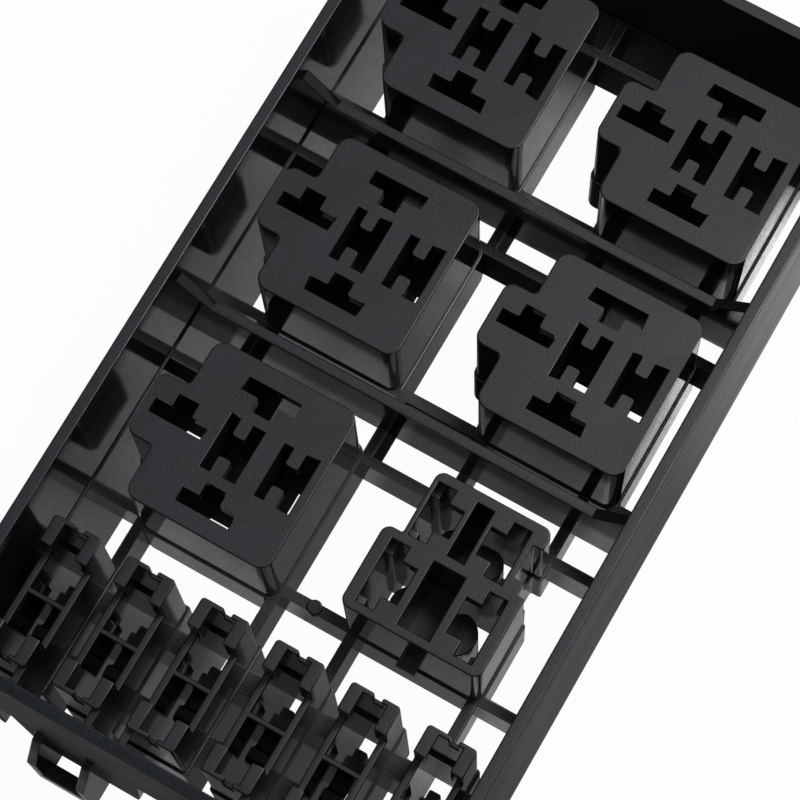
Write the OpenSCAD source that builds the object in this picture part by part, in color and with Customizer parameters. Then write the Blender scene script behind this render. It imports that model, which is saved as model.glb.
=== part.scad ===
// Fuse and relay box: the moulded tray that holds five mini relays, one small relay and six blade fuses.
// X runs across the box, Y along it towards the relay end, and Z up from the edge that it stands on.

/* [Case] */
// Clear length between the end walls
case_l = 130.6; // [128:0.1:160]
// Clear width between the side walls
case_w = 70.5; // [69.5:0.1:90]
// Overall height, from the lower edge to the rim
case_h = 50.7; // [44:0.1:70]
// Thickness of the walls at the rim
wall = 1.8; // [1.4:0.1:3]
// Radius of the upright outer corners
case_r = 3; // [2:0.1:6]
// Height of the rim above the socket faces
rim_h = 6; // [3:0.1:10]
// Height of the thick band that runs round the rim
band_h = 9.6; // [5:0.1:14]
// Step in the outer face below each band
band_step = 0.2; // [0.1:0.05:0.4]
// Depth of the parting line below the socket faces
parting_drop = 17.2; // [14:0.1:20]
// Step at the parting line, where the lower half of the mould is larger
parting_step = 0.3; // [0.1:0.05:0.5]

/* [Relay sockets] */
// Width of a relay socket face, without its ear
relay_w = 22.6; // [21.5:0.1:24]
// Length of a relay socket face
relay_l = 25.4; // [24:0.1:28]
// Depth of a relay socket
relay_h = 27.1; // [24:0.1:32]
// Radius of the upright corners of a relay socket
socket_r = 2; // [0.5:0.1:3]
// Radius of the outer corners of the ear
ear_r = 1.5; // [0.5:0.1:2]
// Radius of the inner corners beside the ear
ear_fillet = 0.75; // [0.3:0.05:1.5]
// How far the ear stands out from a relay socket
ear_reach = 4.4; // [4.3:0.1:6]
// Length of the ear
ear_l = 9.9; // [9:0.1:14]
// Distance between the two columns of relays
column_pitch = 35; // [32:0.1:40]
// Shift of the columns from the middle, to make room for the ears
column_shift = 2.45; // [0:0.05:3]
// Gap between the relay end wall and the first row
far_gap = 6.35; // [4:0.05:10]
// Gap between the last row and the fuse sockets
fuse_gap = 6.85; // [4:0.05:10]

/* [Terminal slots] */
// Thickness of the face over the terminal chambers
face_t = 2.2; // [1:0.1:4]
// Length of a blade slot
slot_l = 8.3; // [7:0.1:9]
// Width of a blade slot
slot_w = 2.15; // [1:0.05:2.5]
// Width of the notch beside a blade slot
notch_w = 3.2; // [2:0.1:4]
// Depth of the notch beside a blade slot
notch_l = 2.1; // [1:0.1:2.5]
// Distance of the ear's slot from the end of the ear
ear_margin = 1.35; // [0.8:0.05:2]
// Distance of the cross slots from the edges of the socket
cross_margin = 2.7; // [2:0.05:3]
// Place of the cross slots along X
cross_x = -0.5; // [-1:0.05:1]
// Length of a fork slot
fork_l = 8.4; // [7:0.1:9]
// Width of the bar of a fork slot that the blade enters
fork_blade_w = 1.55; // [1:0.05:2]
// Width of the other bar of a fork slot
fork_lock_w = 2; // [1.5:0.05:2.5]
// Width of the two tongues between the bars
tongue_w = 1.9; // [1:0.1:2.2]
// Gap between the tips of the tongues
tongue_gap = 3.4; // [2:0.1:5]
// Radius of the corners at the tips of the tongues
tongue_r = 0.4; // [0.1:0.05:0.5]
// Distance between the two fork slots
fork_pitch = 8.4; // [7.9:0.05:8.8]
// Distance of the outer fork slot from the edge of the socket
fork_margin = 1.55; // [1:0.05:2]
// Depth of the blade bar of a fork slot
blade_depth = 12; // [6:0.1:20]
// Width of the chambers below the fork slots
fork_chamber_w = 5.1; // [3:0.1:5.4]
// Width of the chamber below the ear's slot
ear_chamber_w = 5.5; // [4.3:0.1:5.8]
// Width of the chambers below the cross slots
cross_chamber_w = 4.8; // [4.3:0.1:5]
// How far the chamber below the far cross slot runs back under the face
far_back = 0.8; // [0:0.05:1]

/* [Small relay socket] */
// Width of the wide half of the small socket
small_w = 21.5; // [20.5:0.1:23]
// Length of the wide half
small_wide_l = 12.65; // [12.5:0.05:13.5]
// Length of the narrow half
small_narrow_l = 10.05; // [9.8:0.05:11]
// Step on the left side, in to the narrow half
left_step = 2.7; // [1.5:0.1:3]
// Step on the right side, in to the narrow half
right_step = 1.1; // [0.8:0.1:1.5]
// Radius of the upright corners of the small socket
small_r = 1.35; // [0.5:0.05:1.6]
// Radius of the corners at its steps and its latch notch
step_r = 0.35; // [0.2:0.05:0.4]
// Place of the small socket from the middle of its column
small_shift = -2.5; // [-3:0.05:-2]
// Width of the four small terminal slots
small_slot_w = 2.65; // [2:0.05:2.8]
// Length of the slots in the wide half
wide_slot_l = 9.8; // [8:0.05:10]
// Length of the slots in the narrow half
narrow_slot_l = 8.3; // [7:0.05:8.5]
// Depth of the notch beside each slot
small_notch = 2.35; // [1.5:0.05:2.5]
// Length of the notches in the wide half
wide_notch_l = 5.45; // [4:0.05:6]
// Length of the notches in the narrow half
narrow_notch_l = 4.2; // [3:0.05:5]
// Thickness of the wall in front of the slots
small_edge = 1.4; // [1:0.05:1.6]
// Thickness of the wall between the slots of the two halves
small_web = 1.6; // [1:0.05:1.8]
// Thickness of the side walls of the wide half
wide_side = 1.9; // [1:0.05:2.2]
// Thickness of the left side wall of the narrow half
narrow_side = 0.8; // [0.6:0.05:1.2]
// Thickness of the wall behind the latch notch
latch_side = 1; // [0.6:0.05:1.2]
// Width of the blind pocket in the wide half
wide_pocket_w = 4.8; // [3:0.1:5]
// Width of the blind pocket in the narrow half
narrow_pocket_w = 2.5; // [1.5:0.1:2.8]
// Depth of the two blind pockets
pocket_depth = 14; // [6:0.1:20]
// Width of the ledges in the outer corners of the chambers
ledge_w = 0.85; // [0.4:0.05:1]
// Length of the ledges
ledge_l = 1.6; // [0.8:0.05:2]
// Radius of the round locks in the wide half
wide_lock_r = 3.2; // [2.8:0.1:4]
// Radius of the round locks in the narrow half
narrow_lock_r = 2.3; // [1.6:0.1:2.6]
// How far the locks stand past the notches into the slots
lock_reach = 0.5; // [0:0.1:1]
// Depth of the top of the locks below the socket face
lock_drop = 12.8; // [9:0.1:16]
// Depth of the latch notch on the right side
latch_notch = 1.6; // [1:0.1:1.8]
// Length of the latch notch
latch_l = 5.1; // [4:0.05:6]
// Distance of the latch from the middle of the narrow half
latch_shift = -0.6; // [-1:0.05:0]
// Width of the square clip pocket on the front of the small socket
clip_w = 2.95; // [2:0.05:4]
// How far the clip pocket stands out from the front
clip_reach = 2.3; // [1.5:0.05:3.5]
// Height of the clip pocket
clip_h = 1.7; // [1:0.1:5]
// Thickness of the clip pocket's walls
clip_t = 0.45; // [0.3:0.05:0.7]
// Depth of the top of the clip pocket below the socket face
clip_drop = 9; // [4:0.1:14]
// Place of the clip pocket along X
clip_x = 0.5; // [-3:0.05:3]

/* [Fuse sockets] */
// Number of fuse sockets
fuses = 6; // [2:1:6]
// Distance between fuse sockets
fuse_pitch = 11.63; // [10:0.01:12.2]
// Width of a fuse socket
fuse_w = 7.5; // [7:0.1:8.5]
// Length of a fuse socket
fuse_l = 20.2; // [19:0.1:21]
// Depth of a fuse socket
fuse_h = 35.2; // [30:0.1:37]
// Depth of the wall between its two chambers
mid_h = 26.5; // [20.6:0.1:30]
// Depth of its locks
lock_h = 21.3; // [20.6:0.1:26]
// Gap between the fuse sockets and the end wall
near_gap = 2.8; // [2:0.1:5]
// Thickness of the socket's side walls
fuse_wall = 1.1; // [0.8:0.05:1.4]
// Thickness of the socket's end walls
fuse_end = 0.75; // [0.5:0.05:1.2]
// Thickness of the wall between the two chambers
fuse_mid = 0.8; // [0.6:0.05:1.5]
// Length of the four corner posts
post_l = 4.3; // [3.5:0.1:5]
// Height of the posts above the side walls
post_h = 5.4; // [3:0.1:8]
// Gap between the two posts of one end
post_gap = 3.65; // [3:0.05:3.9]
// Width of the probe notch in each end wall
probe_w = 1.3; // [0.8:0.05:1.6]
// Depth of the probe notch
probe_depth = 4; // [2:0.1:5]
// Place of the probe notch along X
probe_x = 0.35; // [-0.5:0.05:0.5]
// Length of the shelf at the end of the far chamber
shelf_l = 0.5; // [0.3:0.05:3]
// Width of the locking tongue in the far chamber
finger_w = 1.8; // [1:0.1:2]
// Reach of the tongue from the middle wall
finger_reach = 4.4; // [3.6:0.1:5]
// Width of the tongue's root
root_w = 3.1; // [2.2:0.1:3.6]
// Reach of the tongue's root from the middle wall
root_reach = 3; // [2:0.1:3.4]
// Width of the locking nose in the near chamber
nose_w = 2.8; // [2:0.1:3.2]
// Reach of the nose from the middle wall
nose_reach = 4.4; // [2.5:0.1:5]
// Place of the nose along X
nose_x = -0.6; // [-0.7:0.05:0.7]
// Length of the hollow in the left wall of the far chamber
hollow_l = 2.2; // [1:0.1:4]
// Distance of that hollow from the middle wall
hollow_y = 0.2; // [0:0.1:3]
// Thickness of the webs that tie the sockets to the end wall
web_t = 1.2; // [0.8:0.05:1.5]
// Depth of the webs below the socket faces
web_drop = 1.4; // [1:0.1:4]

/* [Ribs and cross walls] */
// Thickness of the ribs and cross walls
rib_t = 1.65; // [1:0.05:2.5]
// Height of the ribs
rib_h = 9.3; // [6:0.1:9.5]
// Depth of the top of the ribs below the parting line
rib_drop = 0.25; // [0.1:0.05:1]
// How far the ribs behind the rows lie outside the edges of the sockets
rib_out = 0.1; // [0:0.05:0.5]
// How far the ribs in front of the rows lie inside the edges of the sockets
rib_in = 0.6; // [0:0.05:0.8]
// Place of the first lengthwise rib, in from the left edge of the left column
rib_first_in = 0.25; // [0:0.05:2]
// Place of the second one, out from the right edge of the left column
rib_second_out = 0.65; // [0:0.05:2]
// Place of the third one, in from the left edge of the right column
rib_third_in = 1.65; // [0:0.05:3]
// Place of the fourth one, in from the right edge of the right column
rib_fourth_in = 4.65; // [2:0.05:6]
// Place of the second rib by the fuses, in from the right edge of the left column
fuse_rib_second_in = 0.45; // [0:0.05:2]
// Place of the third rib by the fuses, in from the left edge of the small socket
fuse_rib_third_in = 1.4; // [0.9:0.05:3]
// Place of the fourth rib by the fuses, in from the right edge of the small socket
fuse_rib_fourth_in = 0.9; // [0.9:0.05:3]
// Width of the two broad ribs between the fuse sockets
tie_w = 3.4; // [2:0.1:4]
// Height of the broad ribs
tie_h = 16.2; // [8:0.1:18]
// Distance of the broad ribs from the middle of the fuse sockets
tie_y = 5.25; // [4:0.05:6]
// Depth of the top of the cross walls below the socket faces
cross_drop = 4; // [2:0.1:8]
// Rise of a cross wall where it meets the side walls
gusset_rise = 5.3; // [2:0.1:7]
// Length of the rise at each end of a cross wall
gusset_l = 5.1; // [3:0.1:8]
// Diameter of the gate stub on the last row's rib
gate_d = 2.2; // [1.7:0.1:3]
// Height of the gate stub
gate_h = 0.7; // [0.3:0.1:1.5]
// Place of the gate stub along X
gate_x = 1.6; // [-2:0.1:3]

/* [Wire exits and tie loops] */
// Height of the wire exits in the fuse end wall
exit_h = 17.3; // [12:0.1:20]
// Distance of the loop tabs from the side walls
exit_w = 5.75; // [4:0.05:8]
// Width of each tab that carries a tie loop
tab_w = 20.6; // [18:0.1:24]
// Narrowing of each side of the tab towards its foot
tab_taper = 1.7; // [0.5:0.1:2.5]
// Outer width of a tie loop
loop_w = 9.7; // [8:0.1:12]
// Distance of a tie loop from the left side of its tab
loop_in = 4.1; // [2:0.1:6]
// How far a tie loop stands out from the wall
loop_reach = 4.2; // [3.5:0.1:6]
// Thickness of the loop's arms
loop_t = 1.5; // [1:0.05:2]
// Length of the flat top of the arms
loop_flat = 1.4; // [0.5:0.1:2.5]
// Height of the arms at their tips
loop_tip_h = 12.4; // [8:0.1:14]
// Height of the loop's bar
loop_bar_h = 4; // [2:0.1:6]
// Thickness of the loop's bar
loop_bar_t = 2.4; // [1.5:0.1:3]

/* [Hidden] */
arc_steps = 6;
// How far pieces of the moulding run into each other, and cuts run past the faces
sink = 0.7;
past = 1;

face_z = case_h - rim_h;
parting_z = face_z - parting_drop;
rib_z = parting_z - rib_drop;
saddle_z = face_z - post_h;
outer_l = case_l + 2 * wall;
outer_w = case_w + 2 * wall;

// Places of the sockets: the rows of relays spread evenly between the end wall and the fuses
row_pitch = (case_l - far_gap - relay_l - fuse_gap - fuse_l - near_gap) / 2;
row_y = [for (row = [0:2]) case_l / 2 - far_gap - relay_l / 2 - row * row_pitch];
column_x = [column_shift - column_pitch / 2, column_shift + column_pitch / 2];
relay_places = [
    [column_x[0], row_y[0]], [column_x[1], row_y[0]],
    [column_x[0], row_y[1]], [column_x[1], row_y[1]],
    [column_x[0], row_y[2]]
];
small_place = [column_x[1] + small_shift, row_y[2]];
fuse_y = -case_l / 2 + near_gap + fuse_l / 2;
fuse_x = [for (i = [0:fuses - 1]) (i - (fuses - 1) / 2) * fuse_pitch];
web_side = [1, 1, -1, 1, -1, -1];

// Places of the slots in a relay socket
fork_w = fork_blade_w + tongue_w + fork_lock_w;
ear_slot_x = -relay_w / 2 - ear_reach + ear_margin + slot_l / 2;
cross_y = relay_l / 2 - cross_margin - slot_w / 2;
fork_x = relay_w / 2 - fork_margin - fork_w / 2;

// Edges and places inside the small socket
small_l = small_wide_l + small_narrow_l;
small_step_y = -small_l / 2 + small_wide_l;
narrow_left = -small_w / 2 + left_step;
narrow_right = small_w / 2 - right_step;
latch_x = narrow_right - latch_notch;
latch_y = small_step_y + small_narrow_l / 2 + latch_shift;
wide_slot_y = -small_l / 2 + small_edge + wide_slot_l / 2;
narrow_slot_y = wide_slot_y + wide_slot_l / 2 + small_web + narrow_slot_l / 2;

// Sizes inside a fuse socket
fuse_inner_w = fuse_w - 2 * fuse_wall;
saddle_l = fuse_l - 2 * post_l;
chamber_l = fuse_l / 2 - fuse_end - fuse_mid / 2;

// Ribs across the box lie behind and in front of each row, and ribs along it cross the gaps between
back_rib_y = [for (row = [0:2]) row_y[row] + (row < 2 ? relay_l : small_l) / 2 + rib_out];
front_rib_y = [for (row = [0:2]) row_y[row] - (row < 2 ? relay_l : small_l) / 2 + rib_in];
gaps = [
    [back_rib_y[0], case_l / 2 + sink],
    [back_rib_y[1], front_rib_y[0]],
    [back_rib_y[2], front_rib_y[1]],
    [fuse_y + tie_y, front_rib_y[2]]
];
first_rib_x = column_x[0] - relay_w / 2 + rib_first_in;
relay_rib_x = [
    first_rib_x, column_x[0] + relay_w / 2 + rib_second_out,
    column_x[1] - relay_w / 2 + rib_third_in, column_x[1] + relay_w / 2 - rib_fourth_in
];
fuse_rib_x = [
    first_rib_x, column_x[0] + relay_w / 2 - fuse_rib_second_in,
    small_place.x - small_w / 2 + fuse_rib_third_in, small_place.x + small_w / 2 - fuse_rib_fourth_in
];

// Outlines with rounded corners, of one radius or of one for each corner
function unit(v) = v / norm(v);
function corner_arc(before, at, after, r) =
    let (
        u = unit(before - at),
        v = unit(after - at),
        half = acos(u * v) / 2,
        centre = at + unit(u + v) * r / sin(half),
        from = at + u * r / tan(half) - centre,
        to = at + v * r / tan(half) - centre,
        start = atan2(from.y, from.x),
        turn = (atan2(to.y, to.x) - start + 540) % 360 - 180
    )
    [for (i = [0:arc_steps]) let (a = start + turn * i / arc_steps) centre + r * [cos(a), sin(a)]];
function rounded(points, r) =
    let (n = len(points))
    [
        for (i = [0:n - 1])
            each corner_arc(points[(i + n - 1) % n], points[i], points[(i + 1) % n], is_list(r) ? r[i] : r)
    ];
function rectangle(w, l) = [[-w / 2, -l / 2], [w / 2, -l / 2], [w / 2, l / 2], [-w / 2, l / 2]];

// Extrudes a plan between two heights
module between(low, high) {
    translate([0, 0, low]) linear_extrude(high - low) children();
}

// Extrudes a profile drawn in X and Z along Y, about the given middle
module along_y(middle, length) {
    translate([0, middle + length / 2, 0]) rotate([90, 0, 0]) linear_extrude(length) children();
}

// Extrudes a profile drawn in Y and Z along X, about the given middle
module along_x(middle, length) {
    translate([middle - length / 2, 0, 0]) rotate([90, 0, 90]) linear_extrude(length) children();
}

// Case: four walls with stepped bands outside and the parting step inside
module case_plan(inset) {
    polygon(rounded(rectangle(outer_w - 2 * inset, outer_l - 2 * inset), max(case_r - inset, parting_step)));
}

module walls() {
    difference() {
        union() {
            between(0, case_h) case_plan(2 * band_step);
            between(parting_z, case_h) case_plan(band_step);
            between(case_h - band_h, case_h) case_plan(0);
        }
        between(parting_z, case_h + past) case_plan(wall);
        between(-past, parting_z + past) case_plan(wall + parting_step);
        along_y(-case_l / 2 - wall / 2, 2 * wall + past) wire_exits();
    }
}

// The fuse end wall is open below, apart from the two tabs that carry the tie loops
module wire_exits() {
    half = (case_w - case_r) / 2;
    difference() {
        translate([-half, -past]) square([2 * half, exit_h + past]);
        for (side = [0, 1])
            mirror([side, 0]) tab_profile();
    }
}

module tab_profile() {
    left = -case_w / 2 + exit_w;
    right = left + tab_w;
    polygon([
        [left, exit_h], [left + tab_taper, 0], [left + tab_taper, -past],
        [right - tab_taper, -past], [right - tab_taper, 0], [right, exit_h]
    ]);
}

// A loop for a cable tie on each tab: two tall arms with sloping tips, and a bar across their foot
module tie_loops() {
    left = -case_w / 2 + exit_w + loop_in;
    face = -outer_l / 2 + 2 * band_step;
    tip = face - loop_reach;
    for (side = [0, 1])
        mirror([side, 0, 0]) {
            for (x = [left + loop_t / 2, left + loop_w - loop_t / 2])
                along_x(x, loop_t) polygon([
                    [face + sink, 0], [face + sink, exit_h], [face - loop_flat, exit_h], [tip, loop_tip_h], [tip, 0]
                ]);
            between(0, loop_bar_h) translate([left + loop_t / 2, tip]) square([loop_w - loop_t, loop_bar_t]);
        }
}

// Relay socket: a rounded plate with an ear on the left, which is larger below the parting line
module relay_plan(grow) {
    x = relay_w / 2 + grow;
    y = relay_l / 2 + grow;
    e = ear_l / 2 + grow;
    out = x + ear_reach;
    polygon(rounded(
        [[-x, -y], [x, -y], [x, y], [-x, y], [-x, e], [-out, e], [-out, -e], [-x, -e]],
        [socket_r, socket_r, socket_r, socket_r, ear_fillet, ear_r, ear_r, ear_fillet]
    ));
}

module relay_socket() {
    between(parting_z - past, face_z) relay_plan(0);
    between(face_z - relay_h, parting_z) relay_plan(parting_step);
}

module blade_slot() {
    square([slot_l, slot_w], center = true);
    translate([-notch_w / 2, 0]) square([notch_w, slot_w / 2 + notch_l]);
}

module blade_chamber(width) {
    translate([-slot_l / 2, -slot_w / 2]) square([slot_l, width]);
}

// Two bars, parted by two tongues with rounded tips
module fork_slot() {
    x = -fork_w / 2 + fork_blade_w + tongue_w / 2;
    difference() {
        square([fork_w, fork_l], center = true);
        for (side = [-1, 1])
            translate([x, side * (tongue_gap + fork_l) / 2]) polygon(rounded(rectangle(tongue_w, fork_l), tongue_r));
    }
}

module fork_chamber() {
    translate([fork_w / 2 - fork_chamber_w, -fork_l / 2]) square([fork_chamber_w, fork_l]);
}

module fork_blade() {
    translate([-fork_w / 2, -fork_l / 2]) square([fork_blade_w, fork_l]);
}

module at_blades() {
    translate([ear_slot_x, 0]) children();
    translate([cross_x, -cross_y]) children();
    translate([cross_x, cross_y]) mirror([0, 1]) children();
}

module at_forks() {
    for (i = [0, 1])
        translate([fork_x - i * fork_pitch, 0]) children();
}

module relay_cavities() {
    between(face_z - face_t - past, face_z + past) {
        at_blades() blade_slot();
        at_forks() fork_slot();
    }
    between(face_z - relay_h - past, face_z - face_t) {
        translate([ear_slot_x, 0]) blade_chamber(ear_chamber_w);
        translate([cross_x, -cross_y]) blade_chamber(cross_chamber_w);
        translate([cross_x, cross_y + far_back]) mirror([0, 1]) blade_chamber(cross_chamber_w + far_back);
        at_forks() fork_chamber();
    }
    between(face_z - blade_depth, face_z - face_t / 2) at_forks() fork_blade();
}

// Small relay socket: a wide and a narrow half, with a latch notch on the right of the narrow one
module small_plan(grow) {
    x = small_w / 2 + grow;
    y = small_l / 2 + grow;
    step_y = small_step_y + grow;
    right = narrow_right + grow;
    left = narrow_left - grow;
    low = latch_y - latch_l / 2 + grow;
    high = latch_y + latch_l / 2 - grow;
    polygon(rounded([
        [-x, -y], [x, -y], [x, step_y], [right, step_y], [right, low], [latch_x + grow, low],
        [latch_x + grow, high], [right, high], [right, y], [left, y], [left, step_y], [-x, step_y]
    ], [for (corner = [0:11]) search(corner, [0, 1, 8, 9, 11]) ? small_r : step_r]));
}

module small_socket() {
    between(parting_z - past, face_z) small_plan(0);
    between(face_z - relay_h, parting_z) small_plan(parting_step);
    translate([clip_x, -small_l / 2, 0]) clip_pocket();
}

// A small square pocket on the front of the small socket, for a clip
module clip_pocket() {
    top = face_z - clip_drop;
    difference() {
        between(top - clip_h, top) translate([-clip_w / 2, -clip_reach]) square([clip_w, clip_reach + sink]);
        between(top - clip_h + clip_t, top + past)
            translate([clip_t - clip_w / 2, clip_t - clip_reach]) square([clip_w - 2 * clip_t, clip_reach - clip_t]);
    }
}

// A slot with its inner edge at X = 0 and a notch towards the middle of the socket
module small_slot(length, notch_length) {
    translate([0, -length / 2]) square([small_slot_w, length]);
    translate([-small_notch, -notch_length / 2]) square([small_notch + small_slot_w / 2, notch_length]);
}

// The chamber below a slot, with a ledge in each outer corner
module small_chamber(length) {
    difference() {
        translate([-small_notch, -length / 2]) square([small_notch + small_slot_w, length]);
        for (end = [0, 1])
            mirror([0, end]) translate([small_slot_w - ledge_w, length / 2 - ledge_l])
                square([ledge_w + past, ledge_l + past]);
    }
}

module at_wide_slots() {
    for (side = [0, 1])
        mirror([side, 0]) translate([small_w / 2 - wide_side - small_slot_w, wide_slot_y]) children();
}

module at_narrow_slots() {
    translate([latch_x - latch_side - small_slot_w, narrow_slot_y]) children();
    translate([narrow_left + narrow_side + small_slot_w, narrow_slot_y]) mirror([1, 0]) children();
}

module small_cavities() {
    between(face_z - face_t - past, face_z + past) {
        at_wide_slots() small_slot(wide_slot_l, wide_notch_l);
        at_narrow_slots() small_slot(narrow_slot_l, narrow_notch_l);
    }
    between(face_z - relay_h - past, face_z - face_t) {
        at_wide_slots() small_chamber(wide_slot_l);
        at_narrow_slots() small_chamber(narrow_slot_l);
    }
    between(face_z - pocket_depth, face_z + past) {
        translate([0, wide_slot_y]) square([wide_pocket_w, wide_slot_l], center = true);
        translate([0, narrow_slot_y]) square([narrow_pocket_w, narrow_slot_l], center = true);
    }
}

// A round lock stands low in each small terminal chamber, under the notch
module small_locks() {
    between(face_z - relay_h, face_z - lock_drop) {
        at_wide_slots() small_lock(wide_lock_r);
        at_narrow_slots() small_lock(narrow_lock_r);
    }
}

module small_lock(r) {
    intersection() {
        translate([lock_reach - r, 0]) circle(r = r, $fn = 48);
        translate([-small_notch - sink / 2, -r]) square([small_notch + r, 2 * r]);
    }
}

// Fuse socket: four corner posts over two terminal chambers with a wall between
module fuse_plan(grow) {
    polygon(rounded(rectangle(fuse_w + 2 * grow, fuse_l + 2 * grow), fuse_wall / 2));
}

module fuse_socket() {
    between(parting_z - past, face_z) fuse_plan(0);
    between(face_z - fuse_h, parting_z) fuse_plan(parting_step);
}

module fuse_web(side) {
    x = side > 0 ? fuse_w / 2 - web_t : -fuse_w / 2;
    between(parting_z - past, face_z - web_drop) translate([x, -fuse_l / 2 - near_gap - sink])
        square([web_t, near_gap + sink + fuse_end]);
}

module chamber_plan(shelf) {
    translate([-fuse_inner_w / 2, fuse_mid / 2]) square([fuse_inner_w, chamber_l - shelf]);
    translate([-fuse_inner_w / 2, -fuse_mid / 2 - chamber_l]) square([fuse_inner_w, chamber_l]);
}

module fuse_cavities() {
    between(saddle_z, face_z + past) square([fuse_w + 2 * past, saddle_l], center = true);
    between(saddle_z - fuse_wall, face_z + past) intersection() {
        chamber_plan(0);
        union() {
            square([fuse_w, saddle_l], center = true);
            square([post_gap, fuse_l], center = true);
        }
    }
    between(parting_z, saddle_z - fuse_wall) chamber_plan(0);
    between(min(face_z - fuse_h, rib_z - tie_h) - past, parting_z) chamber_plan(shelf_l);
    between(min(face_z - fuse_h, rib_z - tie_h) - past, face_z - mid_h)
        square([fuse_inner_w, 2 * fuse_mid], center = true);
    between(face_z - probe_depth, face_z + past) for (end = [-1, 1])
        translate([probe_x, end * fuse_l / 2]) square([probe_w, 3 * fuse_end], center = true);
    between(parting_z, saddle_z - fuse_wall) translate([-(fuse_w - fuse_wall) / 2, fuse_mid / 2 + hollow_y])
        square([fuse_wall, hollow_l]);
}

// Locks on the wall between the chambers: a tongue in the far one and a nose in the near one
module fuse_locks() {
    low = face_z - lock_h;
    between(low, parting_z) {
        translate([-finger_w / 2, 0]) square([finger_w, fuse_mid / 2 + finger_reach]);
        translate([-root_w / 2, 0]) square([root_w, fuse_mid / 2 + root_reach]);
    }
    along_x(nose_x, nose_w) polygon([
        [0, low], [0, low + past], [-nose_reach / 3, low + past], [-nose_reach / 2, parting_z],
        [-nose_reach * 0.8, parting_z], [-nose_reach, parting_z - past], [-nose_reach, low]
    ]);
}

// Ribs: a grid of thin ones round the relays, and two broad ones between the fuse sockets
module across(y, width) {
    translate([0, y]) square([case_w + 2 * sink, width], center = true);
}

module rib_plan() {
    for (y = concat(back_rib_y, front_rib_y))
        across(y, rib_t);
    for (i = [0:3])
        for (x = i < 3 ? relay_rib_x : fuse_rib_x)
            translate([x - rib_t / 2, gaps[i][0]]) square([rib_t, gaps[i][1] - gaps[i][0]]);
}

module ribs() {
    between(rib_z - rib_h, rib_z) rib_plan();
    between(rib_z - tie_h, rib_z) {
        across(fuse_y + tie_y, tie_w);
        across(fuse_y - tie_y, tie_w);
    }
    translate([gate_x, front_rib_y[2], rib_z - past]) cylinder(d = gate_d, h = gate_h + past, $fn = 24);
}

// A wall across the box between two rows, which rises to the side walls at its ends
module cross_wall(y) {
    half = case_w / 2;
    top = face_z - cross_drop;
    high = top + gusset_rise;
    along_y(y, rib_t) polygon([
        [-half - sink, rib_z - past], [half + sink, rib_z - past], [half + sink, high], [half, high],
        [half - gusset_l, top], [gusset_l - half, top], [-half, high], [-half - sink, high]
    ]);
}

module at_relays() {
    for (place = relay_places)
        translate(place) children();
}

module at_fuses() {
    for (x = fuse_x)
        translate([x, fuse_y, 0]) children();
}

// The whole tray, as it comes out of the mould
module housing() {
    color("#202124") translate([0, loop_reach / 2 - band_step, 0]) {
        difference() {
            union() {
                walls();
                tie_loops();
                ribs();
                for (i = [0, 1])
                    cross_wall((row_y[i] + row_y[i + 1]) / 2);
                at_relays() relay_socket();
                translate(small_place) small_socket();
                at_fuses() fuse_socket();
                for (i = [0:fuses - 1])
                    translate([fuse_x[i], fuse_y, 0]) fuse_web(web_side[i]);
            }
            at_relays() relay_cavities();
            translate(small_place) small_cavities();
            at_fuses() fuse_cavities();
        }
        translate(small_place) small_locks();
        at_fuses() fuse_locks();
    }
}

housing();
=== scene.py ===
"""Dresses the moulded tray of a fuse and relay box and sets it on a pale studio floor."""

import math

import bmesh
import bpy
from mathutils import Matrix, Vector
from mathutils.bvhtree import BVHTree
from mathutils.geometry import intersect_point_line


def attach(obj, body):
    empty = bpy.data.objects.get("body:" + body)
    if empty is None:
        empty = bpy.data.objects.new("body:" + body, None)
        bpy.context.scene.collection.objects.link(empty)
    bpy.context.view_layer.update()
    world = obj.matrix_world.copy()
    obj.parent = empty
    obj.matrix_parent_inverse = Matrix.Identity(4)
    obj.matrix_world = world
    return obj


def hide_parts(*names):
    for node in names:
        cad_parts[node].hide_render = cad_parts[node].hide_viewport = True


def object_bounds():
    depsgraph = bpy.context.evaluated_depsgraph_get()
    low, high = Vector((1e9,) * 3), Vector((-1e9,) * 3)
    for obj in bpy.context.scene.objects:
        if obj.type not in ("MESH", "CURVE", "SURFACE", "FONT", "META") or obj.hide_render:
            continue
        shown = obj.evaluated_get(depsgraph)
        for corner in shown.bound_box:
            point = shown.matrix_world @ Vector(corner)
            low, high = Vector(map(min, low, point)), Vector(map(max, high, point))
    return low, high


bl_info = {
    "name": "Fuse and relay tray",
    "version": (1, 0, 0),
    "blender": (4, 5, 0),
    "location": "3D View > Sidebar > Tray",
    "description": "Rounds the moulded edges of the tray, gives it its plastic finishes and sets the stage",
    "category": "Object",
}

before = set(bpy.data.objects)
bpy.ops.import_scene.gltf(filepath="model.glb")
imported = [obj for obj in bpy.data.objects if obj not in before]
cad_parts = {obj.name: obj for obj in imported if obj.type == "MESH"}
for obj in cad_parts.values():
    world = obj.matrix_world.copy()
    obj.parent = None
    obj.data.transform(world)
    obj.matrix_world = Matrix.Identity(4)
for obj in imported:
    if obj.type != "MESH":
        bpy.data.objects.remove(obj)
cad_box = [list(corner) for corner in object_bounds()]
MM = 0.001
NYLON_IOR = 1.53

# The housing's finishes, in the order of its material slots; the dull one's darker colour is painted shade
GRAIN, POLISH, SATIN, DULL_SHADED = range(4)

# Heights and places on the tray that the finishes follow
SOCKET_TOP = cad_box[1][2] - 6 * MM
PARTING_LINE = 27.3 * MM
FRONT_WALL = cad_box[0][1] + 3.7 * MM
FUSES_END = cad_box[0][1] + 29 * MM
SMALL_SOCKET_END = -3 * MM
SHELL_DEPTH = 0.8 * MM
END_WALL_DEPTH = 5 * MM
SMALL_AREA = 200 * MM * MM
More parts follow.
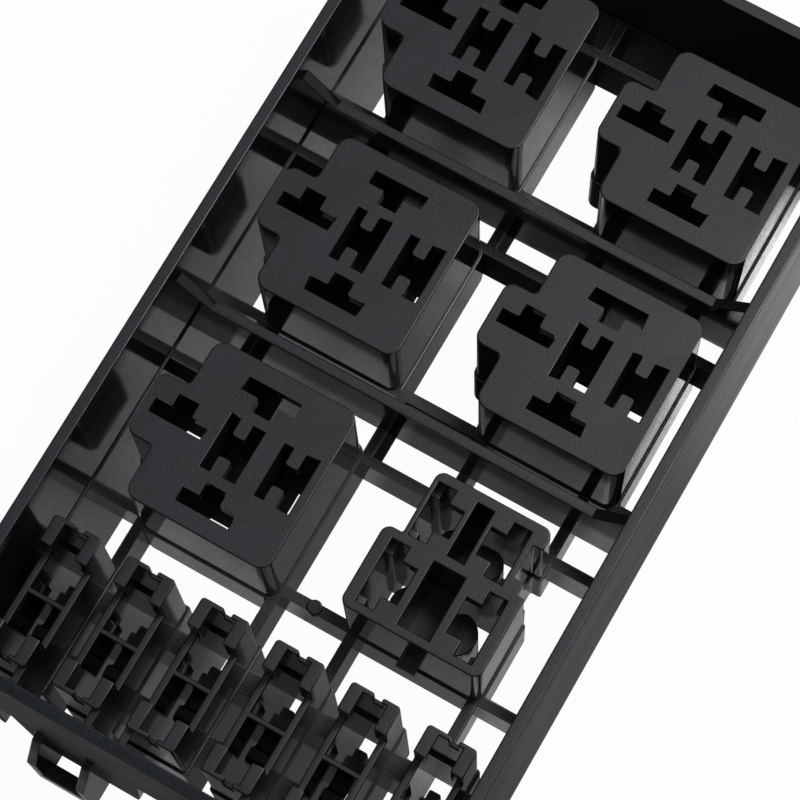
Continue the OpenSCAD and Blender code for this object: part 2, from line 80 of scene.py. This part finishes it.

# Small dull faces, darkened with painted shade: by the ears of the right-hand relay sockets, along X, and in
# the fork slots, along Z
EAR_SPAN = (0, 9 * MM)
FORK_SPAN = (36 * MM, 41 * MM)

# Shares of a face's normal: from LEVEL on it is level, and up to FLAT it is then part of a rounded edge.
# From SIDEWAYS on it looks to that side, and below UPRIGHT, along Z, it is upright.
LEVEL = 0.75
FLAT = 0.97
SIDEWAYS = 0.5
UPRIGHT = 0.3

# Corners within MERGED of each other are one, and triangles within JOINED of one plane are one face
MERGED = 0.002 * MM
JOINED = math.radians(0.5)

# Edges sharper than SHARP are rounded where they have ROOM, in radii. A triangle over SPECK has then folded
# over where its normal's share of the solid's is below FOLDED, and the rounding is tried again without the
# edges within FOLD_REACH of it, in radii.
SHARP = math.radians(30)
ROOM = 2.5
SPECK = 0.01 * MM * MM
FOLDED = -0.2
FOLD_REACH = 6
ROUNDING_TRIES = 5
SHADED_SMOOTH = math.radians(32)

# A relay socket's top has a slot where a wall, SLOT_PROBE below it, faces another within SLOT_WIDEST
SLOT_PROBE = 0.4 * MM
SLOT_WIDEST = 5 * MM

# Ways up from an upright face: their lean off it, their tilts along it, and how many of them a roof meets
ROOF_LEAN = 0.12
ROOF_TILTS = (-0.4, -0.2, 0, 0.2, 0.4)
ROOF_HITS = 3

# Sizes of the clouds in the grain, the unevenness of the polish and the lines of the satin, and half the
# width of the painted highlight along the parting line
CLOUD_SIZE = 9 * MM
UNEVEN_SIZE = 5 * MM
LINE_SIZE = 1.2 * MM
SEAM_HIGHLIGHT_HALF_WIDTH = 0.35 * MM

# Darkest and lightest grain, as shares of the colour, and how much of the tone is grain and clouding
GRAIN_ENDS = (0.1, 2.3)
GRAIN_SHARE = 0.68
CLOUD_SHARE = 0.32

# The floor's share of white to the camera, and how far the tray shades it in reflections
WHITE_SHARE = 0.97
SHADE_REACH = 60 * MM

# Painted light and shade of the floor, seen only where the polished faces mirror it, as (place in mm, tone):
# bands painted brighter and darker along and across the tray where the floor would be lit or lie in the
# tray's shadow. They were set by comparing the light on the walls with the photograph's. The first three run
# along the tray, in its middle and at its sides, and one runs across it. The strips say where the sides'
# painted light holds.
PAINTED_LIGHT_TINT = (1, 0.99, 1.03)
MIDDLE_PAINTED_LIGHT = ((-75, 0.3), (-55, 0.25), (-30, 0.55), (15, 0.6), (58, 1.9), (67, 0.5), (75, 0.3))
LEFT_PAINTED_LIGHT = (
    (-75, 0.3), (-55, 0.25), (-40, 0.46), (-30, 0.42), (-20, 0.53), (-8, 0.48), (15, 0.52), (30, 0.5),
    (42, 0.7), (58, 0.72), (67, 0.5), (75, 0.3))
RIGHT_PAINTED_LIGHT = (
    (-75, 0.3), (-55, 0.22), (-40, 0.34), (-30, 0.39), (-2, 0.39), (12, 0.58), (58, 1.9), (67, 0.5),
    (75, 0.3))
ACROSS_PAINTED_LIGHT = (
    (-40, 0.62), (-6, 0.62), (-3, 0.26), (8, 0.26), (25, 0.45), (28.5, 1), (34.5, 1), (36.5, 0.32),
    (40, 0.32))
LEFT_STRIP = ((-40, 1), (-20, 1), (-16, 0), (40, 0))
RIGHT_STRIP = ((-40, 0), (23, 0), (26, 1), (35, 1), (36.5, 0), (40, 0))

# The lamp, the middle of the sky's light, and the camera, which looks steeply down over the fuse end
LAMP_PLACE = (0.145, 0.18, 0.53)
LAMP_SIZE = 0.14
SKY_MIDDLE = (0.6, 0.2, 0.775)
CAMERA_PLACE = (0.0644757, -0.0959030, 0.4251412)
CAMERA_RIGHT = (0.867034, 0.497534, -0.026678)
CAMERA_BACK = (0.162851, -0.232377, 0.958895)


def linear(hex_colour):
    """Turns an sRGB hex colour into linear red, green and blue."""
    values = [int(hex_colour[i:i + 2], 16) / 255 for i in (0, 2, 4)]
    return [v / 12.92 if v <= 0.04045 else ((v + 0.055) / 1.055) ** 2.4 for v in values]


def add_node(tree, kind, sockets=None, **settings):
    """Adds a node with its settings; a socket is given a value, or another node's output to link."""
    node = tree.nodes.new(kind)
    for name, value in settings.items():
        setattr(node, name, value)
    for name, value in (sockets or {}).items():
        if isinstance(value, bpy.types.NodeSocket):
            tree.links.new(value, node.inputs[name])
        else:
            node.inputs[name].default_value = value
    return node


def painted_light_ramp(tree, value, stops):
    """A tinted grey of painted light and shade on the floor, seen in reflections, that follows a place on
    the floor through its stops, which are (place in mm, tone).
    """
    start, end = stops[0][0], stops[-1][0]
    share = add_node(tree, "ShaderNodeMapRange", {
        "Value": value, "From Min": start * MM, "From Max": end * MM})
    ramp = add_node(tree, "ShaderNodeValToRGB", {"Fac": share.outputs["Result"]})
    elements = ramp.color_ramp.elements
    elements.remove(elements[1])
    for index, (place, tone) in enumerate(stops):
        stop = elements.new((place - start) / (end - start)) if index else elements[0]
        stop.color = [tone * tint for tint in PAINTED_LIGHT_TINT] + [1]
    return ramp.outputs["Color"]


def new_material(name):
    """A material with its node tree and its shader."""
    material = bpy.data.materials.new(name)
    material.use_nodes = True
    return material, material.node_tree, material.node_tree.nodes["Principled BSDF"]


class TrayFinish(bpy.types.PropertyGroup):
    """Sizes and colours of the moulded plastic."""

    edge_round: bpy.props.FloatProperty(
        name="Edge rounding", description="How far the moulded edges are rounded off",
        default=0.25 * MM, min=0.05 * MM, max=0.4 * MM, precision=5, unit="LENGTH")
    top_colour: bpy.props.FloatVectorProperty(
        name="Grained faces", description="Colour of the faces with a spark-eroded grain",
        default=linear("1e2124"), min=0, max=1, subtype="COLOR")
    wall_colour: bpy.props.FloatVectorProperty(
        name="Polished faces", description="Colour of the polished upright faces",
        default=linear("17181a"), min=0, max=1, subtype="COLOR")
    # The dull faces' darker colour is painted shade, for faces in the chambers, under the sockets' tops and
    # in other pockets
    chamber_shade_colour: bpy.props.FloatVectorProperty(
        name="Dull faces", description="Colour of the dull faces, most of them inside the terminal chambers",
        default=linear("0e0e10"), min=0, max=1, subtype="COLOR")
    # The pale parting line is a painted highlight where the halves of the mould met
    seam_highlight_colour: bpy.props.FloatVectorProperty(
        name="Parting line", description="Colour of the scuffed line where the halves of the mould met",
        default=linear("66676b"), min=0, max=1, subtype="COLOR")
    fuse_end: bpy.props.FloatProperty(
        name="Fuse end", description="Where the duller wall at the fuse end ends, along the tray",
        default=cad_box[0][1] + 5.8 * MM, precision=5, unit="LENGTH")
    grain: bpy.props.FloatProperty(
        name="Grain", description="Size of the spark-eroded grain",
        default=0.3 * MM, min=0.1 * MM, max=1 * MM, precision=5, unit="LENGTH")


class TrayStage(bpy.types.PropertyGroup):
    """Floor, light and camera."""

    floor_colour: bpy.props.FloatVectorProperty(
        name="Floor", description="Colour of the floor",
        default=linear("f4f4f4"), min=0, max=1, subtype="COLOR")
    # Strength of the painted light on the floor, which only the polished faces' reflections show
    floor_painted_glow: bpy.props.FloatProperty(
        name="Floor glow", description="Brightness of the floor as the polished faces mirror it",
        default=1.3, min=0, max=2)
    lamp_power: bpy.props.FloatProperty(
        name="Lamp", description="Power of the lamp at the back right",
        default=1.03, min=0, max=200, unit="POWER")
    sky_strength: bpy.props.FloatProperty(
        name="Sky", description="Strength of the light from all round, where it is strongest",
        default=0.47, min=0, max=5)
    lens: bpy.props.FloatProperty(
        name="Lens", description="Focal length on a 36 mm sensor",
        default=130.978, min=20, max=400, unit="CAMERA")


def grained_nylon(finish):
    """Black nylon moulded against spark-eroded steel: a fine grain, clouded, and duller at the fuse end."""
    # Such a grain is too fine to show in the render, so it is drawn coarser, at the size in the settings.
    material, tree, shader = new_material("nylon_spark_grain")
    place = add_node(tree, "ShaderNodeTexCoord").outputs["Object"]
    grain = add_node(tree, "ShaderNodeTexNoise", {
        "Vector": place, "Scale": 1 / finish.grain, "Detail": 2.0, "Roughness": 0.6})
    cloud = add_node(tree, "ShaderNodeTexNoise", {
        "Vector": place, "Scale": 1 / CLOUD_SIZE, "Detail": 4.0, "Roughness": 0.7})
    dark, light = ([c * share for c in finish.top_colour] + [1] for share in GRAIN_ENDS)
    tone = add_node(tree, "ShaderNodeMath", {0: grain.outputs["Fac"], 1: GRAIN_SHARE}, operation="MULTIPLY")
    tone = add_node(tree, "ShaderNodeMath", {
        0: cloud.outputs["Fac"], 1: CLOUD_SHARE, 2: tone.outputs[0]}, operation="MULTIPLY_ADD")
    colour = add_node(tree, "ShaderNodeValToRGB", {"Fac": tone.outputs[0]})
    colour.color_ramp.elements[0].position = 0.32
    colour.color_ramp.elements[0].color = dark
    colour.color_ramp.elements[1].position = 0.68
    colour.color_ramp.elements[1].color = light
    rough = add_node(tree, "ShaderNodeMapRange", {
        "Value": cloud.outputs["Fac"], "From Min": 0.3, "From Max": 0.7, "To Min": 0.42, "To Max": 0.55})
    bump = add_node(tree, "ShaderNodeBump", {
        "Height": grain.outputs["Fac"], "Strength": 0.55, "Distance": 0.045 * MM})
    along = add_node(tree, "ShaderNodeSeparateXYZ", {"Vector": place}).outputs["Y"]
    gloss = add_node(tree, "ShaderNodeMapRange", {
        "Value": along, "From Min": finish.fuse_end, "From Max": finish.fuse_end + 0.4 * MM,
        "To Min": 0.2, "To Max": 0.5})
    tree.links.new(gloss.outputs["Result"], shader.inputs["Specular IOR Level"])
    tree.links.new(colour.outputs["Color"], shader.inputs["Base Color"])
    tree.links.new(rough.outputs["Result"], shader.inputs["Roughness"])
    tree.links.new(bump.outputs["Normal"], shader.inputs["Normal"])
    shader.inputs["IOR"].default_value = NYLON_IOR
    return material


def polished_nylon(finish):
    """Black nylon from the polished sides of the mould: smooth and glossy, a little uneven."""
    material, tree, shader = new_material("nylon_polished")
    place = add_node(tree, "ShaderNodeTexCoord").outputs["Object"]
    uneven = add_node(tree, "ShaderNodeTexNoise", {
        "Vector": place, "Scale": 1 / UNEVEN_SIZE, "Detail": 4.0, "Roughness": 0.6})
    rough = add_node(tree, "ShaderNodeMapRange", {
        "Value": uneven.outputs["Fac"], "From Min": 0.3, "From Max": 0.7, "To Min": 0.06, "To Max": 0.14})
    tree.links.new(rough.outputs["Result"], shader.inputs["Roughness"])
    shader.inputs["Base Color"].default_value = [*finish.wall_colour, 1]
    shader.inputs["IOR"].default_value = NYLON_IOR
    return material


def satin_nylon(finish):
    """Black nylon from the outer shell of the mould: satin, with fine lines along it and a painted highlight
    along the parting line.
    """
    material, tree, shader = new_material("nylon_satin")
    place = add_node(tree, "ShaderNodeTexCoord").outputs["Object"]
    wiped = add_node(tree, "ShaderNodeMapping", {"Vector": place, "Scale": (0.05, 0.05, 1)})
    lines = add_node(tree, "ShaderNodeTexNoise", {
        "Vector": wiped.outputs["Vector"], "Scale": 1 / LINE_SIZE, "Detail": 3.0, "Roughness": 0.6})
    rough = add_node(tree, "ShaderNodeMapRange", {
        "Value": lines.outputs["Fac"], "From Min": 0.3, "From Max": 0.7, "To Min": 0.3, "To Max": 0.46})
    height = add_node(tree, "ShaderNodeSeparateXYZ", {"Vector": place}).outputs["Z"]
    # Painted highlight: a pale band along the parting line
    seam = add_node(tree, "ShaderNodeMath", {
        0: height, 1: PARTING_LINE, 2: SEAM_HIGHLIGHT_HALF_WIDTH}, operation="COMPARE")
    colour = add_node(tree, "ShaderNodeMix", {
        0: seam.outputs[0], 6: [*finish.wall_colour, 1], 7: [*finish.seam_highlight_colour, 1]}, data_type="RGBA")
    tree.links.new(colour.outputs[2], shader.inputs["Base Color"])
    tree.links.new(rough.outputs["Result"], shader.inputs["Roughness"])
    shader.inputs["IOR"].default_value = NYLON_IOR
    return material


def dull_shaded_nylon(finish):
    """Black nylon as the mould's rough cores left it, as in the terminal chambers: flat, and very dark with
    painted shade.
    """
    material, _, shader = new_material("nylon_dull_shaded")
    shader.inputs["Base Color"].default_value = [*finish.chamber_shade_colour, 1]
    shader.inputs["Roughness"].default_value = 0.8
    shader.inputs["Specular IOR Level"].default_value = 0.15
    return material


def joined_solid():
    """The housing's own mesh, with doubled corners merged and the triangles of each flat face joined."""
    shape = bmesh.new()
    shape.from_mesh(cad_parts["housing"].data)
    bmesh.ops.remove_doubles(shape, verts=shape.verts, dist=MERGED)
    bmesh.ops.dissolve_limit(shape, angle_limit=JOINED, verts=shape.verts, edges=shape.edges)
    return shape


def room_beside(face, edge):
    """How far a face reaches from one of its edges."""
    start = edge.verts[0].co
    across = face.normal.cross((edge.verts[1].co - start).normalized())
    return max(abs((corner.co - start).dot(across)) for corner in face.verts)


def distance_to(edge, spot):
    """Distance of a spot from an edge."""
    start, end = (corner.co for corner in edge.verts)
    share = intersect_point_line(spot, start, end)[1]
    return (start.lerp(end, min(max(share, 0), 1)) - spot).length


def folded_spots(shape, solid):
    """Places where a bevel has folded the faces over, against the solid that they came from."""
    spots = []
    for loops in shape.calc_loop_triangles():
        a, b, c = (loop.vert.co for loop in loops)
        across = (b - a).cross(c - a)
        middle = (a + b + c) / 3
        normal = solid.find_nearest(middle)[1]
        if across.length / 2 > SPECK and normal.dot(across.normalized()) < FOLDED:
            spots.append(middle)
    return spots


def among_relays(spot):
    """Whether a place lies among the five relay sockets, and not by the small one or the fuses."""
    return spot.y > SMALL_SOCKET_END or (spot.x < 0 and spot.y > FUSES_END)


def beside_slot(edge, solid):
    """Whether an edge of a relay socket's top borders a terminal slot, which the mould leaves sharp."""
    middle = (edge.verts[0].co + edge.verts[1].co) / 2
    if not among_relays(middle) or abs(middle.z - SOCKET_TOP) > 0.1 * MM:
        return False
    below = middle - Vector((0, 0, SLOT_PROBE))
    walls = [face.normal for face in edge.link_faces if abs(face.normal.z) < UPRIGHT]
    return any(
        solid.ray_cast(below + 0.05 * MM * wall, wall, SLOT_WIDEST)[0] is not None for wall in walls)


def rounded_solid(radius):
    """The solid with its outer edges rounded, but not the slots' edges or those without room for it."""
    crowded = []
    for attempt in range(ROUNDING_TRIES):
        shape = joined_solid()
        solid = BVHTree.FromBMesh(shape)
        outer = [
            edge for edge in shape.edges
            if edge.calc_face_angle_signed(0) > SHARP
            and min(face.normal.z for face in edge.link_faces) > -0.5
            and min(room_beside(face, edge) for face in edge.link_faces) > ROOM * radius
            and all(distance_to(edge, spot) > FOLD_REACH * radius for spot in crowded)
            and not beside_slot(edge, solid)
        ]
        bmesh.ops.bevel(
            shape, geom=outer, offset=radius, offset_type="OFFSET", segments=2,
            profile=0.5, affect="EDGES", material=-1, clamp_overlap=False, loop_slide=False)
        spots = folded_spots(shape, solid)
        if not spots:
            break
        crowded += spots
        if attempt < ROUNDING_TRIES - 1:
            shape.free()
    return shape


def roofed(face, solid):
    """Whether the part lies over an upright face, as a socket's top does over its terminal chambers."""
    start = face.calc_center_median() + 0.2 * MM * face.normal
    side = face.normal.cross((0, 0, 1))
    ways = [Vector((0, 0, 1)) + ROOF_LEAN * face.normal + tilt * side for tilt in ROOF_TILTS]
    return sum(solid.ray_cast(start, way.normalized())[0] is not None for way in ways) >= ROOF_HITS


class TRAY_OT_mould_housing(bpy.types.Operator):
    """Makes the housing from the solid's faces, with its outer edges rounded off"""

    bl_idname = "tray.mould_housing"
    bl_label = "Mould the housing"

    def execute(self, context):
        finish = context.scene.tray_finish
        shape = rounded_solid(finish.edge_round)
        solid = BVHTree.FromBMesh(shape)
        for face in shape.faces:
            face.smooth = True
            face.material_index = self.finish_of(face, solid)
        for edge in shape.edges:
            edge.smooth = edge.calc_face_angle(0) < SHADED_SMOOTH
        mesh = bpy.data.meshes.new("housing_moulded")
        shape.to_mesh(mesh)
        shape.free()
        mesh.materials.append(grained_nylon(finish))
        mesh.materials.append(polished_nylon(finish))
        mesh.materials.append(satin_nylon(finish))
        mesh.materials.append(dull_shaded_nylon(finish))
        housing = bpy.data.objects.new("housing_moulded", mesh)
        context.scene.collection.objects.link(housing)
        weigh = housing.modifiers.new("flat_faces", "WEIGHTED_NORMAL")
        weigh.keep_sharp = True
        weigh.weight = 100
        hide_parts("housing")
        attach(housing, "root")
        return {"FINISHED"}

    def finish_of(self, face, solid):
        """Picks a face's finish by the way it looks and its place on the tray."""
        low, high = cad_box
        middle = face.calc_center_median()
        if LEVEL < face.normal.z < FLAT:
            return SATIN
        front_wall = FRONT_WALL < middle.y < FRONT_WALL + MM
        if front_wall or abs(face.normal.z) > LEVEL:
            return GRAIN
        beside = middle.x < low[0] + SHELL_DEPTH or middle.x > high[0] - SHELL_DEPTH
        if beside or middle.y > high[1] - SHELL_DEPTH or face.normal.x < -SIDEWAYS:
            return SATIN
        if not among_relays(middle):
            return POLISH
        looks_front = face.normal.y < -SIDEWAYS
        small = face.calc_area() < SMALL_AREA
        end_wall = looks_front and middle.y > high[1] - END_WALL_DEPTH
        ear = looks_front and small and EAR_SPAN[0] < middle.x < EAR_SPAN[1]
        fork = face.normal.x > SIDEWAYS and small and FORK_SPAN[0] < middle.z < FORK_SPAN[1]
        # Faces under the part's tops, on the end wall's front and in the small pockets by the ears and forks
        # get the dull finish, whose darker colour is painted shade
        return DULL_SHADED if end_wall or ear or fork or roofed(face, solid) else POLISH


class TRAY_OT_set_stage(bpy.types.Operator):
    """Lays the floor, hangs the lamp and sets up the camera at the tray's viewing angle"""

    bl_idname = "tray.set_stage"
    bl_label = "Set the stage"

    def execute(self, context):
        stage = context.scene.tray_stage
        context.scene.view_settings.view_transform = "Standard"
        self.lay_floor(context, stage)
        self.hang_lamp(context, stage)
        self.light_sky(context, stage)
        self.place_camera(context, stage)
        return {"FINISHED"}

    def lay_floor(self, context, stage):
        """A pale floor, white to the camera, that keeps a soft shadow and shows painted light and shade in
        reflections.
        """
        shape = bmesh.new()
        bmesh.ops.create_grid(shape, x_segments=1, y_segments=1, size=1.5)
        mesh = bpy.data.meshes.new("floor")
        shape.to_mesh(mesh)
        shape.free()
        floor = bpy.data.objects.new("floor", mesh)
        context.scene.collection.objects.link(floor)
        material, tree, shader = new_material("floor_paper")
        tree.nodes.remove(shader)
        paper = add_node(tree, "ShaderNodeBsdfDiffuse", {"Color": [*stage.floor_colour, 1]})
        white = add_node(tree, "ShaderNodeEmission", {"Color": (1, 1, 1, 1), "Strength": 1.0})
        path = add_node(tree, "ShaderNodeLightPath").outputs
        seen = add_node(tree, "ShaderNodeMath", {
            0: path["Is Camera Ray"], 1: WHITE_SHARE}, operation="MULTIPLY")
        mixed = add_node(tree, "ShaderNodeMixShader", {
            0: seen.outputs[0], 1: paper.outputs[0], 2: white.outputs[0]})
        # Glossy rays see the floor's painted light and shade in place of its own shading
        mixed = add_node(tree, "ShaderNodeMixShader", {
            0: path["Is Glossy Ray"], 1: mixed.outputs[0], 2: self.painted_floor_reflection(tree, stage)})
        tree.links.new(mixed.outputs[0], tree.nodes["Material Output"].inputs["Surface"])
        mesh.materials.append(material)

    def painted_floor_reflection(self, tree, stage):
        """The floor in reflections, a glow of painted light and shade: painted shade close under the part,
        by how open the floor is to the sky, and painted light along and across the tray.
        """
        place = add_node(tree, "ShaderNodeTexCoord").outputs["Object"]
        spot = add_node(tree, "ShaderNodeSeparateXYZ", {"Vector": place}).outputs
        tones = add_node(tree, "ShaderNodeMix", {
            0: painted_light_ramp(tree, spot["X"], LEFT_STRIP), 6: painted_light_ramp(tree, spot["Y"], MIDDLE_PAINTED_LIGHT),
            7: painted_light_ramp(tree, spot["Y"], LEFT_PAINTED_LIGHT)}, data_type="RGBA")
        tones = add_node(tree, "ShaderNodeMix", {
            0: painted_light_ramp(tree, spot["X"], RIGHT_STRIP), 6: tones.outputs[2],
            7: painted_light_ramp(tree, spot["Y"], RIGHT_PAINTED_LIGHT)}, data_type="RGBA")
        # Painted shade: the glow fades where the tray covers the floor
        open_sky = add_node(tree, "ShaderNodeAmbientOcclusion", {"Distance": SHADE_REACH}, samples=16)
        light = add_node(tree, "ShaderNodeMapRange", {
            "Value": open_sky.outputs["AO"], "From Min": 0.0, "From Max": 0.08,
            "To Min": 0.02 * stage.floor_painted_glow, "To Max": stage.floor_painted_glow})
        across = painted_light_ramp(tree, spot["X"], ACROSS_PAINTED_LIGHT)
        glow = add_node(tree, "ShaderNodeMath", {
            0: light.outputs["Result"], 1: across}, operation="MULTIPLY")
        # The painted reflection: an emission that only glossy rays meet
        painted_reflection = add_node(tree, "ShaderNodeEmission", {
            "Color": tones.outputs[2], "Strength": glow.outputs[0]})
        return painted_reflection.outputs[0]

    def hang_lamp(self, context, stage):
        """One soft lamp at the back right, which lights the tops and draws lines along the rounded edges."""
        light = bpy.data.lights.new("softbox", "AREA")
        light.shape = "SQUARE"
        light.size = LAMP_SIZE
        light.color = (1, 0.99, 1)
        light.energy = stage.lamp_power
        lamp = bpy.data.objects.new("softbox", light)
        lamp.location = LAMP_PLACE
        lamp.rotation_mode = "QUATERNION"
        lamp.rotation_quaternion = (-Vector(lamp.location)).to_track_quat("-Z", "Y")
        context.scene.collection.objects.link(lamp)

    def light_sky(self, context, stage):
        """Light from all round, strongest from the upper right, and a white backdrop to the camera."""
        world = bpy.data.worlds.new("studio")
        world.use_nodes = True
        tree = world.node_tree
        tree.nodes.remove(tree.nodes["Background"])
        way = add_node(tree, "ShaderNodeTexCoord").outputs["Generated"]
        towards = add_node(tree, "ShaderNodeVectorMath", {0: way, 1: SKY_MIDDLE}, operation="DOT_PRODUCT")
        fade = add_node(tree, "ShaderNodeMapRange", {
            "Value": towards.outputs["Value"], "From Min": 0.4, "From Max": 0.95,
            "To Min": 0.35 * stage.sky_strength, "To Max": stage.sky_strength})
        sky = add_node(tree, "ShaderNodeBackground", {
            "Color": (0.94, 1, 1.06, 1), "Strength": fade.outputs["Result"]})
        backdrop = add_node(tree, "ShaderNodeBackground", {"Color": (1, 1, 1, 1), "Strength": 1.0})
        seen = add_node(tree, "ShaderNodeLightPath").outputs["Is Camera Ray"]
        mixed = add_node(tree, "ShaderNodeMixShader", {
            0: seen, 1: sky.outputs[0], 2: backdrop.outputs[0]})
        tree.links.new(mixed.outputs[0], tree.nodes["World Output"].inputs["Surface"])
        context.scene.world = world

    def place_camera(self, context, stage):
        """Looks steeply down over the fuse end, turned so that the tray runs up to the right."""
        lens = bpy.data.cameras.new("camera")
        lens.sensor_width = 36
        lens.lens = stage.lens
        lens.clip_start = 0.01
        lens.clip_end = 20
        camera = bpy.data.objects.new("camera", lens)
        right = Vector(CAMERA_RIGHT)
        back = Vector(CAMERA_BACK)
        up = back.cross(right).normalized()
        right = up.cross(back).normalized()
        turned = Matrix((right, up, back)).transposed().to_4x4()
        camera.matrix_world = Matrix.Translation(CAMERA_PLACE) @ turned
        context.scene.collection.objects.link(camera)
        context.scene.camera = camera


class TRAY_PT_sidebar(bpy.types.Panel):
    """Lists the tray's settings and steps"""

    bl_label = "Fuse and relay tray"
    bl_idname = "TRAY_PT_sidebar"
    bl_space_type = "VIEW_3D"
    bl_region_type = "UI"
    bl_category = "Tray"

    def draw(self, context):
        column = self.layout.column()
        for group, names in (
            (context.scene.tray_finish, (
                "edge_round", "top_colour", "wall_colour", "chamber_shade_colour", "seam_highlight_colour", "fuse_end",
                "grain")),
            (context.scene.tray_stage, ("floor_colour", "floor_painted_glow", "lamp_power", "sky_strength", "lens")),
        ):
            for name in names:
                column.prop(group, name)
        column.operator("tray.mould_housing")
        column.operator("tray.set_stage")


CLASSES = (TrayFinish, TrayStage, TRAY_OT_mould_housing, TRAY_OT_set_stage, TRAY_PT_sidebar)


def register():
    for cls in CLASSES:
        bpy.utils.register_class(cls)
    bpy.types.Scene.tray_finish = bpy.props.PointerProperty(type=TrayFinish)
    bpy.types.Scene.tray_stage = bpy.props.PointerProperty(type=TrayStage)


def unregister():
    del bpy.types.Scene.tray_stage
    del bpy.types.Scene.tray_finish
    for cls in reversed(CLASSES):
        bpy.utils.unregister_class(cls)


def main():
    register()
    bpy.ops.tray.mould_housing()
    bpy.ops.tray.set_stage()


if __name__ == "__main__":
    main()
